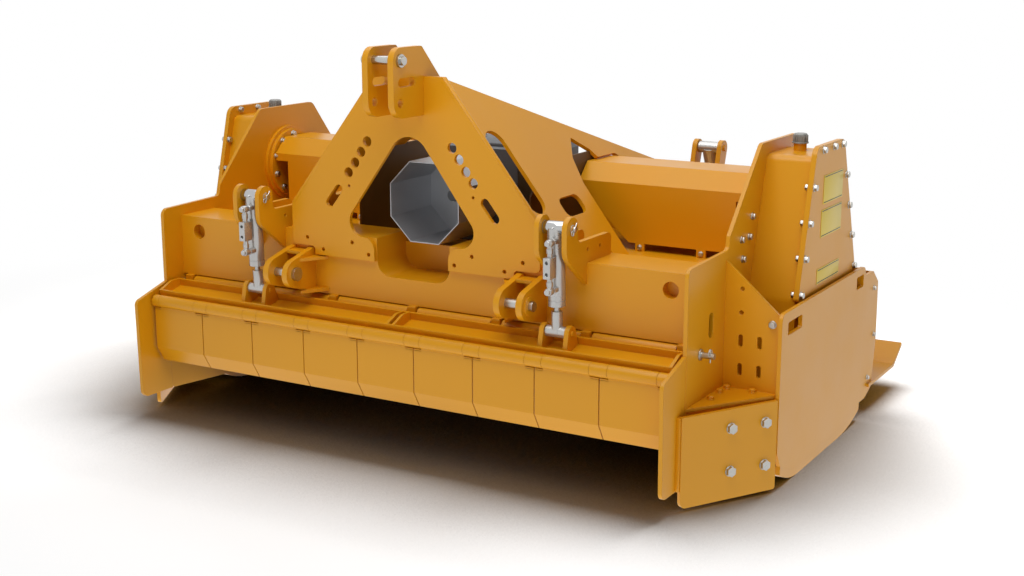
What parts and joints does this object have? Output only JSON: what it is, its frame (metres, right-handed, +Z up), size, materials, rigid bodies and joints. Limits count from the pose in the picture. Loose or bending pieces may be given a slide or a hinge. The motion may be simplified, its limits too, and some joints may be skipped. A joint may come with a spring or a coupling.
{
  "type": "tractor-mounted stone crusher",
  "caption": "Three-point hitch stone crusher: toothed rotor in a steel housing with side gear drives, a tilting front hood with hanging flaps and a lifting rear hood.",
  "frame": {"origin": "on the ground under the middle of the machine's box, between its two skids", "axes": "+X to the right seen from the tractor, +Y from the tractor to the rear, +Z up"},
  "size_m": [2.802, 2.0197, 1.533],
  "materials": {
    "paint": "glossy",
    "chrome": "polished",
    "zinc_steel": "zinc plated",
    "grey_sheet": "satin",
    "cast_grey": "painted",
    "tool_steel": "black",
    "dark_plastic": "matte"
  },
  "bodies": {
    "frame": {"front_beam": "paint", "rotor_casing": "paint", "side_walls": "paint", "end_shields": "paint", "skids": "paint", "side_covers": "paint", "side_pockets": "paint", "deflectors": "paint", "gear_cases": "paint", "gear_case_lids": "paint", "filler_caps": "dark_plastic", "a_frame_plate": "paint", "cheeks": "paint", "top_link_plates": "paint", "hitch_ears": "paint", "hitch_pins": "zinc_steel", "gearbox": "cast_grey", "pto_shield": "grey_sheet", "shaft_housings": "paint", "shaft_guards": "paint", "front_cylinder_brackets": "paint", "rear_cylinder_brackets": "paint", "front_hinge_rod": "zinc_steel", "rear_hinge_rod": "zinc_steel"},
    "rotor": {"rotor": "tool_steel"},
    "front_hood": {"front_hood": "paint"},
    "rear_hood": {"rear_hood": "paint"},
    "flap_1": {"flap_1": "paint"},
    "flap_2": {"flap_2": "paint"},
    "flap_3": {"flap_3": "paint"},
    "flap_4": {"flap_4": "paint"},
    "flap_5": {"flap_5": "paint"},
    "flap_6": {"flap_6": "paint"},
    "flap_7": {"flap_7": "paint"},
    "flap_8": {"flap_8": "paint"},
    "flap_9": {"flap_9": "paint"},
    "front_barrel_left": {"front_barrel_left": "chrome"},
    "front_rod_left": {"front_rod_left": "chrome"},
    "front_barrel_right": {"front_barrel_right": "chrome"},
    "front_rod_right": {"front_rod_right": "chrome"},
    "rear_barrel_left": {"rear_barrel_left": "chrome"},
    "rear_rod_left": {"rear_rod_left": "chrome"},
    "rear_barrel_right": {"rear_barrel_right": "chrome"},
    "rear_rod_right": {"rear_rod_right": "chrome"}
  },
  "joints": [
    {"name": "rotor_spin", "type": "hinge", "parent": "frame", "child": "rotor", "pos_m": [0, -0.043, 0.357], "axis": [1, 0, 0], "continuous": true},
    {"name": "front_hood_tilt", "type": "hinge", "parent": "frame", "child": "front_hood", "pos_m": [0, -0.717, 0.517], "axis": [1, 0, 0], "range_deg": [0, 28]},
    {"name": "rear_hood_lift", "type": "hinge", "parent": "frame", "child": "rear_hood", "pos_m": [0, 0.44, 0.86], "axis": [1, 0, 0], "range_deg": [0, 35]},
    {"name": "flap_1_swing", "type": "hinge", "parent": "front_hood", "child": "flap_1", "pos_m": [-1.02222, -0.913, 0.469], "axis": [1, 0, 0], "range_deg": [-20, 60]},
    {"name": "flap_2_swing", "type": "hinge", "parent": "front_hood", "child": "flap_2", "pos_m": [-0.76667, -0.913, 0.469], "axis": [1, 0, 0], "range_deg": [-20, 60]},
    {"name": "flap_3_swing", "type": "hinge", "parent": "front_hood", "child": "flap_3", "pos_m": [-0.51111, -0.913, 0.469], "axis": [1, 0, 0], "range_deg": [-20, 60]},
    {"name": "flap_4_swing", "type": "hinge", "parent": "front_hood", "child": "flap_4", "pos_m": [-0.25556, -0.913, 0.469], "axis": [1, 0, 0], "range_deg": [-20, 60]},
    {"name": "flap_5_swing", "type": "hinge", "parent": "front_hood", "child": "flap_5", "pos_m": [0, -0.913, 0.469], "axis": [1, 0, 0], "range_deg": [-20, 60]},
    {"name": "flap_6_swing", "type": "hinge", "parent": "front_hood", "child": "flap_6", "pos_m": [0.25556, -0.913, 0.469], "axis": [1, 0, 0], "range_deg": [-20, 60]},
    {"name": "flap_7_swing", "type": "hinge", "parent": "front_hood", "child": "flap_7", "pos_m": [0.51111, -0.913, 0.469], "axis": [1, 0, 0], "range_deg": [-20, 60]},
    {"name": "flap_8_swing", "type": "hinge", "parent": "front_hood", "child": "flap_8", "pos_m": [0.76667, -0.913, 0.469], "axis": [1, 0, 0], "range_deg": [-20, 60]},
    {"name": "flap_9_swing", "type": "hinge", "parent": "front_hood", "child": "flap_9", "pos_m": [1.02222, -0.913, 0.469], "axis": [1, 0, 0], "range_deg": [-20, 60]},
    {"name": "front_barrel_left_swing", "type": "hinge", "parent": "frame", "child": "front_barrel_left", "pos_m": [-0.677, -0.84, 0.933], "axis": [1, 0, 0], "range_deg": [-1.49, 0]},
    {"name": "front_rod_left_slide", "type": "slide", "parent": "front_barrel_left", "child": "front_rod_left", "axis": [0, 0.0399, -0.9992], "range_m": [0, 0.05527]},
    {"name": "front_barrel_right_swing", "type": "hinge", "parent": "frame", "child": "front_barrel_right", "pos_m": [0.677, -0.84, 0.933], "axis": [1, 0, 0], "range_deg": [-1.49, 0]},
    {"name": "front_rod_right_slide", "type": "slide", "parent": "front_barrel_right", "child": "front_rod_right", "axis": [0, 0.0399, -0.9992], "range_m": [0, 0.05527]},
    {"name": "rear_barrel_left_swing", "type": "hinge", "parent": "frame", "child": "rear_barrel_left", "pos_m": [-0.71, 0.427, 1.072], "axis": [1, 0, 0], "range_deg": [0, 17.63]},
    {"name": "rear_rod_left_slide", "type": "slide", "parent": "rear_barrel_left", "child": "rear_rod_left", "axis": [0, 0.3697, -0.9292], "range_m": [-0.05614, 0]},
    {"name": "rear_barrel_right_swing", "type": "hinge", "parent": "frame", "child": "rear_barrel_right", "pos_m": [0.71, 0.427, 1.072], "axis": [1, 0, 0], "range_deg": [0, 17.63]},
    {"name": "rear_rod_right_slide", "type": "slide", "parent": "rear_barrel_right", "child": "rear_rod_right", "axis": [0, 0.3697, -0.9292], "range_m": [-0.05614, 0]}
  ],
  "couplings": [
    {"joint": "front_barrel_left_swing", "follows": "front_hood_tilt", "ratio": -0.05236},
    {"joint": "front_rod_left_slide", "follows": "front_hood_tilt", "m_per_rad": 0.11208},
    {"joint": "front_barrel_right_swing", "follows": "front_hood_tilt", "ratio": -0.05236},
    {"joint": "front_rod_right_slide", "follows": "front_hood_tilt", "m_per_rad": 0.11208},
    {"joint": "rear_barrel_left_swing", "follows": "rear_hood_lift", "ratio": 0.50308},
    {"joint": "rear_rod_left_slide", "follows": "rear_hood_lift", "m_per_rad": -0.09108},
    {"joint": "rear_barrel_right_swing", "follows": "rear_hood_lift", "ratio": 0.50308},
    {"joint": "rear_rod_right_slide", "follows": "rear_hood_lift", "m_per_rad": -0.09108}
  ]
}
